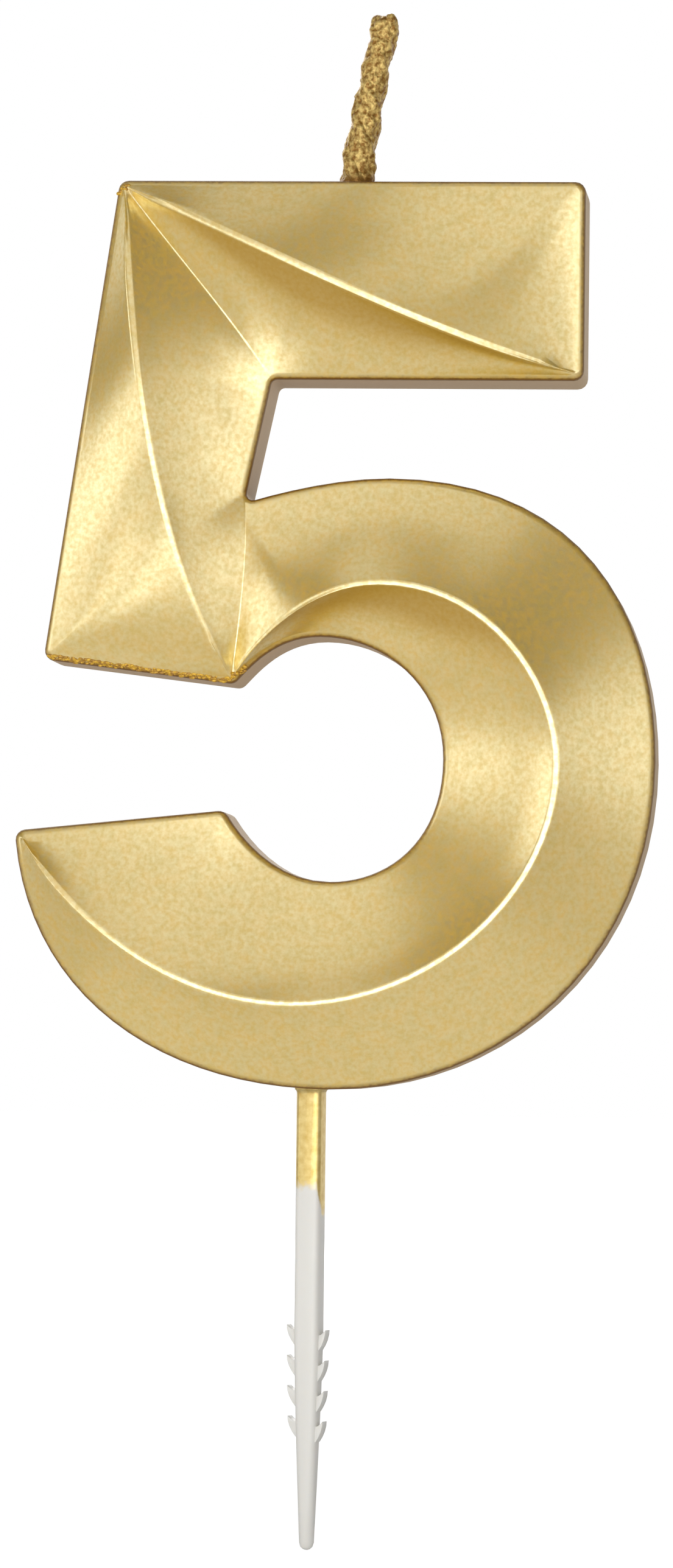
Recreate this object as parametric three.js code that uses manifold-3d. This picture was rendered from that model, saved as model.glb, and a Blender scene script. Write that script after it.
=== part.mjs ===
// Number candle in the shape of a 5, held upright by a barbed pick pushed into a cake.
// Millimetres. X runs to the right, Y away from the viewer and Z up.
// The origin lies on the pick's axis, level with the lowest point of the numeral.

import * as THREE from 'three';
import { mergeVertices } from 'three/addons/utils/BufferGeometryUtils.js';
import Module from 'manifold-3d';

const wasm = await Module();
wasm.setup();

// Numeral: overall sizes
const numeralHeight = 70.2;
const numeralWidth = 49.45;
const wallDepth = 8.5;
const reliefHeight = 3.5;
const edgeRadius = 0.6;
const cornerRadius = 0.8;
const notchRadius = 0.5;

// Numeral: top bar and stem, X from the pick's axis and Z from the lowest point
const barRight = 20.7;
const barHeight = 15.4;
const stemLeftTop = -15.4;
const footLeft = -20.9;
const footLeftHeight = 33.0;
const footRight = -6.1;
const footRightHeight = 31.2;
const stemRightTop = -3.4;
const neckX = -5.45;
const neckHeight = 45.2;

// Numeral: bowl and tail
const bowlHeight = 47.2;
const tailLeft = -22.95;
const tailHeight = 19.75;
const bowlTopX = 5.8;
const bowlRight = tailLeft + numeralWidth;
const bowlRightHeight = 25.5;
const bowlBottomX = 1.6;
const tailRight = -6.7;
const tailRightHeight = 21.45;

// Numeral: counter, set by the stroke's width at the top, right and bottom of the bowl
const strokeTop = 12.3;
const strokeRight = 16.35;
const strokeBottom = 16.0;
const counterTopX = 0.6;
const counterBottomX = 1.5;

// Numeral: ridge of the bowl, set by its distance from the outer edge
const ridgeBelowTop = 8.35;
const ridgeInsideRight = 7.45;
const ridgeAboveBottom = 6.5;
const ridgeTopX = 5.4;
const ridgeRightHeight = 25.0;
const ridgeBottomX = -1.2;

// Numeral: the two grooves that run to the inner corners, how far above the rim they lie
// half way and half the width of their rounding
const mitreRise = 0.3;
const neckCreaseRise = 0.3;
const grooveHalfWidth = 0.14;

// Numeral: half the width of the flat top of a ridge and of the rounding beside it
const landHalfWidth = 0.18;
const crestRounding = 0.2;

// Share of the stem at which its ridge is highest
const stemRidgePeak = 0.45;

// Wick: three strands laid round each other. They narrow from the wax up to the taper's
// end, which is given as a share of the standing part.
const wickStanding = 13.3;
const wickSunk = 12.0;
const wickX = 2.7;
const wickLean = 2.3;
const strandBaseRadius = 0.62;
const strandTipRadius = 0.49;
const strandTaperEnd = 0.6;
const strandPitch = 10.0;
const strandGap = 0.04;

// Pick
const pickStanding = 35.6;
const pickSunk = 11.0;
const pickTurn = -14;
const shaftWidth = 2.05;
const tangWidth = 1.75;
const tipWidth = 1.15;
const taperStart = 18.5;
const barbPitch = 2.35;
const barbCount = 4;
const barbLength = 1.6;
const barbThickness = 1.1;
const leftBarbReach = 0.62;
const rightBarbReach = 0.5;
const firstBarb = 18.2;
const rightBarbDrop = 0.4;

// Room that the wax leaves round the wick and the pick
const waxClearance = 0.15;

const frontPlane = -wallDepth / 2;
const backPlane = wallDepth / 2;
const degrees = Math.PI / 180;

// Plan curves: points (x, z) seen from the front, angles in degrees with 0 to the right and 90 up

const at = (x, z) => new THREE.Vector2(x, z);
const heading = (angle) => at(Math.cos(angle * degrees), Math.sin(angle * degrees));

// A curve that leaves start at one angle and reaches end at another; each share of the
// chord says how long the curve keeps that direction
function curve(start, leaving, leavingShare, end, arriving, arrivingShare) {
  const chord = start.distanceTo(end);
  const afterStart = heading(leaving).multiplyScalar(chord * leavingShare).add(start);
  const beforeEnd = heading(arriving).multiplyScalar(-chord * arrivingShare).add(end);
  return new THREE.CubicBezierCurve(start, afterStart, beforeEnd, end);
}

const line = (start, end) => new THREE.LineCurve(start, end);

const barUnderside = numeralHeight - barHeight;
const corners = {
  apex: at(stemLeftTop, numeralHeight),
  foot: at(footLeft, footLeftHeight),
  footInner: at(footRight, footRightHeight),
  tailInner: at(tailRight, tailRightHeight),
  tailTip: at(tailLeft, tailHeight),
  neck: at(neckX, neckHeight),
  inner: at(stemRightTop, barUnderside),
  barEnd: at(barRight, barUnderside),
  barTop: at(barRight, numeralHeight),
};
const bowlTop = at(bowlTopX, bowlHeight);
const bowlSide = at(bowlRight, bowlRightHeight);
const bowlBottom = at(bowlBottomX, 0);
const counterTop = at(counterTopX, bowlHeight - strokeTop);
const counterSide = at(bowlRight - strokeRight, bowlRightHeight);
const counterBottom = at(counterBottomX, strokeBottom);

// Steps along each stretch. A ridge has as many steps as the border on either side of it,
// so that the facets that share the ridge share its points.
const halfCorner = 2;
const barSteps = 34;
const stemSteps = 32;
const bowlSteps = { neck: 16, top: 18, bottom: 20, tail: 24 };
const mitreSteps = 12;
const creaseSteps = 8;
const topSteps = 22;
const leftSteps = 20;
const toTailSteps = 9;
const hollowRows = 5;
const rowCrowding = 1.4;
const edgeRows = 3;

// The outline, anticlockwise from the apex. Each side ends at a corner or, where it has
// none, runs smoothly into the next side.
const sides = [
  { path: line(corners.apex, corners.foot), steps: leftSteps, corner: 'foot' },
  {
    path: line(corners.foot, corners.footInner),
    steps: stemSteps - leftSteps - 4 * halfCorner,
    corner: 'footInner',
  },
  {
    path: curve(corners.footInner, 40, 0.15, counterTop, 0, 0.51),
    steps: bowlSteps.neck - halfCorner,
  },
  { path: curve(counterTop, 0, 0.36, counterSide, -90, 0.43), steps: bowlSteps.top },
  { path: curve(counterSide, -90, 0.5, counterBottom, 180, 0.34), steps: bowlSteps.bottom },
  {
    path: curve(counterBottom, 180, 0.43, corners.tailInner, 120, 0.25),
    steps: toTailSteps,
    corner: 'tailInner',
  },
  {
    path: line(corners.tailInner, corners.tailTip),
    steps: bowlSteps.tail - toTailSteps - 3 * halfCorner,
    corner: 'tailTip',
  },
  {
    path: curve(corners.tailTip, -86, 0.39, bowlBottom, 0, 0.43),
    steps: bowlSteps.tail - halfCorner,
  },
  { path: curve(bowlBottom, 0, 0.37, bowlSide, 90, 0.435), steps: bowlSteps.bottom },
  { path: curve(bowlSide, 90, 0.385, bowlTop, 180, 0.49), steps: bowlSteps.top },
  {
    path: curve(bowlTop, 180, 0.39, corners.neck, 198, 0.17),
    steps: bowlSteps.neck - creaseSteps - halfCorner,
    corner: 'neck',
  },
  {
    path: line(corners.neck, corners.inner),
    steps: stemSteps - mitreSteps - creaseSteps - 2 * halfCorner,
    corner: 'inner',
  },
  {
    path: line(corners.inner, corners.barEnd),
    steps: barSteps - mitreSteps - 2 * halfCorner,
    corner: 'barEnd',
  },
  {
    path: line(corners.barEnd, corners.barTop),
    steps: barSteps - topSteps - 4 * halfCorner,
    corner: 'barTop',
  },
  { path: line(corners.barTop, corners.apex), steps: topSteps, corner: 'apex' },
];

const cornerRounding = (name) => (name === 'inner' || name === 'neck' ? notchRadius : cornerRadius);

// Distance from a corner at which a rounding of the given radius starts
function cutBack(before, after, radius) {
  const back = before.getTangent(1).negate();
  const onward = after.getTangent(0);
  const halfAngle = Math.acos(THREE.MathUtils.clamp(back.dot(onward), -1, 1)) / 2;
  return radius / Math.tan(halfAngle);
}

// Parameter at which a path is the given distance away from one of its ends
function parameterAt(path, fromEnd, distance) {
  if (distance === 0) return fromEnd ? 1 : 0;
  const end = path.getPoint(fromEnd ? 1 : 0);
  let near = 0;
  let far = 0.5;
  for (let i = 0; i < 40; i += 1) {
    const middle = (near + far) / 2;
    const point = path.getPoint(fromEnd ? 1 - middle : middle);
    if (point.distanceTo(end) < distance) near = middle;
    else far = middle;
  }
  return fromEnd ? 1 - near : near;
}

// Points of the arc that rounds a corner, without its two ends
function roundedCorner(corner, from, to) {
  const toFrom = from.clone().sub(corner);
  const toTo = to.clone().sub(corner);
  const halfAngle = Math.acos(toFrom.dot(toTo) / (toFrom.length() * toTo.length())) / 2;
  const bisector = toFrom.clone().add(toTo).normalize();
  const centre = bisector.multiplyScalar(toFrom.length() / Math.cos(halfAngle)).add(corner);
  const first = from.clone().sub(centre);
  const turn = Math.sign(first.cross(to.clone().sub(centre))) * (Math.PI - 2 * halfAngle);
  const points = [];
  for (let i = 1; i < 2 * halfCorner; i += 1) {
    const point = first.clone().rotateAround(at(0, 0), (turn * i) / (2 * halfCorner));
    points.push(point.add(centre));
  }
  return points;
}

// The outline as points, with the place of each corner's middle point in the list
function outlinePoints() {
  const cuts = sides.map((side, i) => {
    const next = sides[(i + 1) % sides.length];
    if (!side.corner) return 0;
    return cutBack(side.path, next.path, cornerRounding(side.corner));
  });
  const spans = sides.map((side, i) => {
    const cutBefore = cuts[(i + sides.length - 1) % sides.length];
    const first = parameterAt(side.path, false, cutBefore);
    const last = parameterAt(side.path, true, cuts[i]);
    return Array.from({ length: side.steps + 1 }, (_, k) =>
      side.path.getPoint(first + ((last - first) * k) / side.steps));
  });
  const points = [];
  const middles = {};
  spans.forEach((span, i) => {
    const side = sides[i];
    const next = spans[(i + 1) % spans.length];
    points.push(...(side.corner ? span : span.slice(0, -1)));
    if (!side.corner) return;
    middles[side.corner] = points.length - 1 + halfCorner;
    points.push(...roundedCorner(corners[side.corner], span.at(-1), next[0]));
  });
  return { points, middles };
}

const outline = outlinePoints();
const outlineCount = outline.points.length;
const outlinePoint = (i) => outline.points[((i % outlineCount) + outlineCount) % outlineCount];

// Outward direction at each point of the outline
const outward = outline.points.map((point, i) => {
  const before = point.clone().sub(outlinePoint(i - 1)).normalize();
  const after = outlinePoint(i + 1).clone().sub(point).normalize();
  const along = before.add(after).normalize();
  return at(along.y, -along.x);
});

// A point of the front: its plan place and how far it stands in front of the front plane
const inFront = (plan, rise) => new THREE.Vector3(plan.x, frontPlane - rise, plan.y);

// The rounded front edge turns from the wall to the slope that the facets start with
const facetSlope = 22 * degrees;
function edgeRing(share) {
  const turn = share * (Math.PI / 2 - facetSlope);
  const inset = edgeRadius * (1 - Math.cos(turn));
  const rise = -edgeRadius * (1 - Math.sin(turn));
  return outline.points.map((point, i) =>
    inFront(outward[i].clone().multiplyScalar(-inset).add(point), rise));
}

const edgeRings = Array.from({ length: edgeRows + 1 }, (_, k) => edgeRing(k / edgeRows));
const rim = edgeRings[edgeRows];
const rimRise = frontPlane - rim[0].y;

// Part of the rim from one corner's middle to another's, anticlockwise
function rimBetween(from, to) {
  const first = outline.middles[from];
  const steps = (outline.middles[to] - first + outlineCount) % outlineCount;
  return Array.from({ length: steps + 1 }, (_, k) => rim[(first + k) % outlineCount]);
}

const rimCorner = (name) => rim[outline.middles[name]];
const planOf = (point) => at(point.x, point.z);

// A ridge or groove: a plan curve with its rise given as a function of the share
function raised(path, riseAt, steps) {
  return Array.from({ length: steps + 1 }, (_, k) =>
    inFront(path.getPoint(k / steps), riseAt(k / steps)));
}

// Rise that leaves the rim, is at its full height at the peak and comes back to the rim at
// the end. A steepness of 1 gives a half sine wave, less gives one that is steep at the rim.
function arch(height, { rising = 1, falling = rising, peak = 0.5, end = 1 }) {
  return (share) => {
    const fromPeak = share < peak ? (peak - share) / peak : (share - peak) / (end - peak);
    const wave = Math.cos((Math.PI / 2) * Math.min(fromPeak, 1));
    const rounded = Math.max(0, wave) ** (share < peak ? rising : falling);
    return THREE.MathUtils.lerp(rimRise, height, rounded);
  };
}

// Joins stretches that follow each other into one list of points
function joined(...stretches) {
  return stretches.reduce((all, stretch) => all.concat(stretch.slice(1)));
}

const reversed = (points) => [...points].reverse();

const apex = planOf(rimCorner('apex'));
const barEnd = planOf(rimCorner('barEnd'));
const inner = planOf(rimCorner('inner'));
const neck = planOf(rimCorner('neck'));
const footInner = planOf(rimCorner('footInner'));
const tailTip = planOf(rimCorner('tailTip'));
const ridgeTop = at(ridgeTopX, bowlHeight - ridgeBelowTop);
const ridgeSide = at(bowlRight - ridgeInsideRight, ridgeRightHeight);
const ridgeBottom = at(ridgeBottomX, ridgeAboveBottom);

const barRidge = raised(
  curve(apex, -24, 0.31, barEnd, -13, 0.31),
  arch(reliefHeight, { rising: 0.75, falling: 0.9 }),
  barSteps,
);
const stemRidge = raised(
  curve(apex, -85, 0.33, footInner, -60, 0.33),
  arch(reliefHeight, { rising: 0.85, falling: 0.6, peak: stemRidgePeak }),
  stemSteps,
);
const mitre = raised(curve(apex, -53, 0.31, inner, -58, 0.25), arch(mitreRise, {}), mitreSteps);
const neckCrease = raised(
  curve(footInner, 82, 0.31, neck, 95, 0.31),
  arch(neckCreaseRise, { rising: 0.7 }),
  creaseSteps,
);
const grooves = new Set([...mitre, ...neckCrease]);

const level = () => reliefHeight;
const leavingFoot = arch(reliefHeight, { rising: 0.95, peak: 1, end: 2 });
const reachingTail = arch(reliefHeight, { falling: 0.6, peak: 0 });
const bowlRidge = joined(
  raised(curve(footInner, 55, 0.3, ridgeTop, 0, 0.38), leavingFoot, bowlSteps.neck),
  raised(curve(ridgeTop, 0, 0.42, ridgeSide, -90, 0.34), level, bowlSteps.top),
  raised(curve(ridgeSide, -90, 0.36, ridgeBottom, 180, 0.394), level, bowlSteps.bottom),
  raised(curve(ridgeBottom, 180, 0.38, tailTip, 123, 0.306), reachingTail, bowlSteps.tail),
);

// Width of each ridge's top at equal steps along it, as a share of the full width
const barLand = [1, 1, 1, 0.8];
const stemLand = [1, 1, 0.7, 0.4, 0.1];
const bowlLand = [1, 1, 0.8, 0.7, 0.7, 0.7, 0.6, 0.6];

// The six facets: each spans from a ridge to the border beside it. The hollow is given at
// equal steps along the facet: at 0 the facet runs straight down, at 1 it levels out
// towards the border, and below 0 it gets steeper there. The brow is how much steeper the
// facet is just under the ridge.
const facets = [
  {
    ridge: barRidge,
    border: reversed(rimBetween('barEnd', 'apex')),
    land: barLand,
    hollow: [0, 0, 0.1, 0.4, 0.8, 1, 0.8],
    brow: 0,
  },
  {
    ridge: barRidge,
    border: joined(mitre, rimBetween('inner', 'barEnd')),
    land: barLand,
    hollow: [0, 0, 0.3, 1, 0.5, 0.1, 0, 0, 0],
    brow: 1.2,
  },
  {
    ridge: stemRidge,
    border: joined(mitre, reversed(rimBetween('neck', 'inner')), reversed(neckCrease)),
    land: stemLand,
    hollow: [0, 0.2, 1, 0.5, 0.1, 0],
    brow: 0.4,
  },
  {
    ridge: stemRidge,
    border: rimBetween('apex', 'footInner'),
    land: stemLand,
    hollow: [0, 0, 0, 0, -0.8, -0.8],
    brow: 0,
  },
  {
    ridge: bowlRidge,
    border: joined(neckCrease, reversed(rimBetween('tailTip', 'neck'))),
    land: bowlLand,
    hollow: [0.2, 1, 0.2, 0.2, 0.2, 0.2, 0.2, 0.2],
    brow: 0.2,
  },
  {
    ridge: bowlRidge,
    border: rimBetween('footInner', 'tailTip'),
    land: bowlLand,
    hollow: [0.2, 0.2, 0.2, 0.2, 0.2, 0.5, 1, 0.5],
    brow: 0.5,
  },
];

// A closed skin gathered triangle by triangle
class Skin {
  constructor() {
    this.values = [];
  }

  triangle(a, b, c) {
    if (a.equals(b) || b.equals(c) || c.equals(a)) return;
    for (const point of [a, b, c]) this.values.push(point.x, point.y, point.z);
  }

  // Corners in order round the quad, anticlockwise seen from outside
  quad(a, b, c, d) {
    this.triangle(a, b, c);
    this.triangle(a, c, d);
  }

  geometry() {
    const geometry = new THREE.BufferGeometry();
    geometry.setAttribute('position', new THREE.Float32BufferAttribute(this.values, 3));
    return geometry;
  }
}

// Value at a share of the way along a list of values at equal steps
function alongList(values, share) {
  const place = Math.min(share, 1) * (values.length - 1);
  const step = Math.min(Math.floor(place), values.length - 2);
  const ease = THREE.MathUtils.smoothstep(place - step, 0, 1);
  return THREE.MathUtils.lerp(values[step], values[step + 1], ease);
}

// Section of a facet from a point of the ridge to its partner on the border: level and then
// rounded over at the ridge, hollowed as given and, where the border is a groove, rounded
// there; its rows of points crowd towards the ridge
function facetSection(top, foot, landShare, hollow, brow) {
  const distance = planOf(top).distanceTo(planOf(foot));
  const land = Math.min(landHalfWidth * landShare, distance * 0.1);
  const crest = Math.min(crestRounding, distance * 0.2);
  const groove = Math.min(grooveHalfWidth, distance * 0.15);
  const span = distance - land - crest - groove;
  const lastStretch = grooves.has(foot) ? groove / 2 : groove;
  const steepness = 1 + hollow / 3 + brow;
  const rounding = (steepness * crest) / 2 + (1 - hollow) * lastStretch;
  const drop = (foot.y - top.y) / (1 + rounding / span);
  const slopeAtCrest = (steepness * drop) / span;
  const slopeAtFoot = ((1 - hollow) * drop) / span;
  const places = [[0, 0], [land, 0], [land + crest / 2, (slopeAtCrest * crest) / 8]];
  for (let k = 0; k < hollowRows; k += 1) {
    const share = (k / hollowRows) ** rowCrowding;
    const levelling = (hollow / 3) * (1 - share ** 3);
    const fallen = drop * share * (1 + levelling + brow * (1 - share) ** 3);
    places.push([land + crest + span * share, (slopeAtCrest * crest) / 2 + fallen]);
  }
  places.push([distance - groove, foot.y - top.y - slopeAtFoot * lastStretch]);
  return places.map(([along, fallen]) => {
    const point = top.clone().lerp(foot, along / distance);
    point.y = top.y + fallen;
    return point;
  });
}

// Rows of points from the ridge to the border, and the cells between them
function addFacet(skin, { ridge, border, land, hollow, brow }) {
  const sections = ridge.map((top, i) => {
    const foot = border[i];
    const share = i / (ridge.length - 1);
    if (planOf(top).distanceTo(planOf(foot)) < 1e-6) return Array(hollowRows + 5).fill(foot);
    const section = [alongList(land, share), alongList(hollow, share), brow];
    return [...facetSection(top, foot, ...section), foot];
  });
  const centre = Math.floor(ridge.length / 2);
  const along = planOf(ridge[centre + 1]).sub(planOf(ridge[centre]));
  const across = planOf(border[centre]).sub(planOf(ridge[centre]));
  const borderOnLeft = along.cross(across) > 0;
  for (let i = 0; i + 1 < ridge.length; i += 1) {
    const [here, next] = [sections[i], sections[i + 1]];
    for (let k = 0; k + 1 < here.length; k += 1) {
      const cell = [here[k], next[k], next[k + 1], here[k + 1]];
      if (!borderOnLeft) cell.reverse();
      skin.quad(...cell);
    }
  }
}

// Band between two rings of points that run anticlockwise seen from the front,
// the first one farther from the viewer
function addBand(skin, far, near) {
  far.forEach((point, i) => {
    const next = (i + 1) % far.length;
    skin.quad(point, far[next], near[next], near[i]);
  });
}

function numeralSkin() {
  const skin = new Skin();
  const back = outline.points.map((point) => new THREE.Vector3(point.x, backPlane, point.y));
  for (const [a, b, c] of THREE.ShapeUtils.triangulateShape(outline.points, [])) {
    skin.triangle(back[a], back[c], back[b]);
  }
  addBand(skin, back, edgeRings[0]);
  for (let k = 0; k < edgeRows; k += 1) addBand(skin, edgeRings[k], edgeRings[k + 1]);
  for (const facet of facets) addFacet(skin, facet);
  return skin.geometry();
}

// A solid skin through rings of points, lowest ring first and each anticlockwise seen
// from above, closed at both ends
function loft(rings) {
  const skin = new Skin();
  const middleOf = (ring) =>
    ring.reduce((sum, point) => sum.add(point), new THREE.Vector3()).divideScalar(ring.length);
  const bottom = middleOf(rings[0]);
  const top = middleOf(rings.at(-1));
  rings[0].forEach((point, i) => {
    const next = (i + 1) % rings[0].length;
    skin.triangle(bottom, rings[0][next], point);
    skin.triangle(top, rings.at(-1)[i], rings.at(-1)[next]);
    for (let k = 0; k + 1 < rings.length; k += 1) {
      skin.quad(rings[k][i], rings[k][next], rings[k + 1][next], rings[k + 1][i]);
    }
  });
  return skin.geometry();
}

// Joining and cutting

function solid(geometry) {
  const bare = geometry.clone();
  bare.deleteAttribute('normal');
  bare.deleteAttribute('uv');
  const merged = mergeVertices(bare, 1e-5);
  return new wasm.Manifold(new wasm.Mesh({
    numProp: 3,
    vertProperties: new Float32Array(merged.attributes.position.array),
    triVerts: new Uint32Array(merged.index.array),
  }));
}

function geometryOf(body) {
  const { vertProperties, triVerts } = body.getMesh();
  const geometry = new THREE.BufferGeometry();
  geometry.setAttribute('position', new THREE.BufferAttribute(vertProperties, 3));
  geometry.setIndex(new THREE.BufferAttribute(triVerts, 1));
  geometry.computeVertexNormals();
  return geometry;
}

// Wick

const strandCount = 3;
const strandSides = 8;
const strandSteps = 34;
const wickLength = wickSunk + wickStanding;
const wickFoot = numeralHeight - wickSunk;
const strandTurns = wickLength / strandPitch;

// How far up the standing part a share of the whole wick lies, 0 inside the wax
const standingShare = (share) => Math.max(0, (share * wickLength - wickSunk) / wickStanding);

// The strands are thicker where they leave the wax
function strandRadius(share) {
  const taper = Math.min(1, standingShare(share) / strandTaperEnd);
  return THREE.MathUtils.lerp(strandBaseRadius, strandTipRadius, taper);
}

// Strands that lean on each other round the axis keep this distance from it
const strandOrbit = (share) => strandRadius(share) * 1.27 + strandGap / 2;

class Strand extends THREE.Curve {
  constructor(number) {
    super();
    this.startAngle = (2 * Math.PI * number) / strandCount;
  }

  getPoint(share, target = new THREE.Vector3()) {
    const angle = this.startAngle - 2 * Math.PI * strandTurns * share;
    const lean = wickLean * standingShare(share) ** 1.3;
    return target.set(
      wickX + lean + strandOrbit(share) * Math.cos(angle),
      strandOrbit(share) * Math.sin(angle),
      wickFoot + wickLength * share,
    );
  }
}

function strandGeometry(number) {
  const strand = new Strand(number);
  const frames = strand.computeFrenetFrames(strandSteps);
  const rings = [];
  for (let k = 0; k <= strandSteps; k += 1) {
    const share = k / strandSteps;
    const centre = strand.getPointAt(share);
    const endShrink = k === strandSteps ? 0.6 : 1;
    const ring = [];
    for (let i = 0; i < strandSides; i += 1) {
      const angle = (2 * Math.PI * i) / strandSides;
      const radius = strandRadius(share) * endShrink;
      ring.push(centre.clone()
        .addScaledVector(frames.normals[k], radius * Math.cos(angle))
        .addScaledVector(frames.binormals[k], radius * Math.sin(angle)));
    }
    rings.push(ring);
  }
  return loft(rings);
}

const wickRadius = strandOrbit(0) + strandRadius(0);
const boreRadius = wickRadius + waxClearance;

function wickBore() {
  const open = numeralHeight + 1;
  const bottom = wickFoot - waxClearance;
  const bore = new THREE.CylinderGeometry(boreRadius, boreRadius, open - bottom, 24);
  bore.rotateX(Math.PI / 2);
  bore.translate(wickX, 0, (open + bottom) / 2);
  return bore;
}

// Pick

const pickSides = 24;

// Half width and squareness of the pick at a height; squareness 2 is round
function pickSection(height) {
  const tangEnd = pickSunk - 0.5;
  const tipCentre = -pickStanding + tipWidth / 2;
  if (height > 0) {
    return { half: THREE.MathUtils.lerp(shaftWidth, tangWidth, height / tangEnd) / 2, square: 4 };
  }
  if (height > -taperStart) return { half: shaftWidth / 2, square: 4 };
  const share = (height + taperStart) / (tipCentre + taperStart);
  return {
    half: THREE.MathUtils.lerp(shaftWidth, tipWidth, share ** 1.4) / 2,
    square: THREE.MathUtils.lerp(4, 2, share),
  };
}

// Ring of the pick's section, a square with rounded corners, made larger by margin
function pickRing(height, section, margin) {
  const ring = [];
  for (let i = 0; i < pickSides; i += 1) {
    const angle = (2 * Math.PI * i) / pickSides;
    const part = (value) => Math.sign(value) * Math.abs(value) ** (2 / section.square);
    const reach = section.half + margin;
    ring.push(new THREE.Vector3(
      reach * part(Math.cos(angle)), reach * part(Math.sin(angle)), height));
  }
  return ring;
}

function pickShaft() {
  const tipRadius = tipWidth / 2;
  const tipCentre = -pickStanding + tipRadius;
  const rings = [];
  for (const turn of [80, 60, 35]) {
    const half = tipRadius * Math.cos(turn * degrees);
    const height = tipCentre - tipRadius * Math.sin(turn * degrees);
    rings.push(pickRing(height, { half, square: 2 }, 0));
  }
  const taperRings = 7;
  for (let k = 0; k <= taperRings; k += 1) {
    const height = THREE.MathUtils.lerp(tipCentre, -taperStart, k / taperRings);
    rings.push(pickRing(height, pickSection(height), 0));
  }
  rings.push(pickRing(0, pickSection(0), 0));
  const tangShoulder = pickSunk - 0.5;
  rings.push(pickRing(tangShoulder, pickSection(tangShoulder), 0));
  rings.push(pickRing(pickSunk, { half: tangWidth / 2 - 0.4, square: 3 }, 0));
  return loft(rings);
}

// The pick's socket in the numeral, open below
function pickSocket() {
  const rings = [
    pickRing(-1, pickSection(0), waxClearance),
    pickRing(0, pickSection(0), waxClearance),
    pickRing(pickSunk, pickSection(pickSunk - 0.5), waxClearance),
    pickRing(pickSunk + waxClearance, { half: tangWidth / 2 - 0.4, square: 3 }, waxClearance),
  ];
  return loft(rings).rotateZ(pickTurn * degrees);
}

// One barb: a thorn that points up and outward, rooted inside the shaft
function barb(side, reach, tipHeight) {
  const root = pickSection(tipHeight - barbLength / 2).half;
  const inside = root / 2;
  const outline = new THREE.Shape();
  outline.moveTo(inside, tipHeight - barbLength);
  outline.lineTo(root - 0.05, tipHeight - barbLength);
  outline.quadraticCurveTo(root + reach, tipHeight - barbLength / 2, root + reach, tipHeight);
  outline.quadraticCurveTo(root + reach * 0.5, tipHeight - 0.35, root, tipHeight - 0.4);
  outline.lineTo(inside, tipHeight - 0.4);
  const thorn = new THREE.ExtrudeGeometry(outline, {
    depth: barbThickness,
    bevelEnabled: false,
    curveSegments: 4,
  });
  thorn.translate(0, 0, -barbThickness / 2);
  thorn.rotateX(Math.PI / 2);
  if (side < 0) thorn.rotateZ(Math.PI);
  return thorn;
}

function pickGeometry() {
  let body = solid(pickShaft());
  for (let k = 0; k < barbCount; k += 1) {
    const tipHeight = -firstBarb - k * barbPitch;
    body = body.add(solid(barb(-1, leftBarbReach, tipHeight)));
    body = body.add(solid(barb(1, rightBarbReach, tipHeight - rightBarbDrop)));
  }
  return geometryOf(body).rotateZ(pickTurn * degrees);
}

// Assembly

const goldLacquer = { color: '#cdb268', roughness: 0.38, metalness: 0.85 };
const goldWick = { color: '#a8894a', roughness: 0.5, metalness: 0.6 };
const whitePlastic = { color: '#eceae4', roughness: 0.45, metalness: 0.0 };

function piece(name, geometry, look) {
  const mesh = new THREE.Mesh(geometry, new THREE.MeshStandardMaterial(look));
  mesh.name = name;
  return mesh;
}

function numeralGeometry() {
  return geometryOf(solid(numeralSkin()).subtract(solid(wickBore())).subtract(solid(pickSocket())));
}

const candle = new THREE.Group();
candle.add(piece('wax_numeral', numeralGeometry(), goldLacquer));
for (let number = 0; number < strandCount; number += 1) {
  candle.add(piece(`wick_strand_${number + 1}`, strandGeometry(number), goldWick));
}
candle.add(piece('cake_pick', pickGeometry(), whitePlastic));

export default candle;
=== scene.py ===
import math
import random

import bmesh
import bpy
from bpy.props import FloatProperty, FloatVectorProperty, PointerProperty
from mathutils import Matrix, Quaternion, Vector, noise
from mathutils.bvhtree import BVHTree


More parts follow.
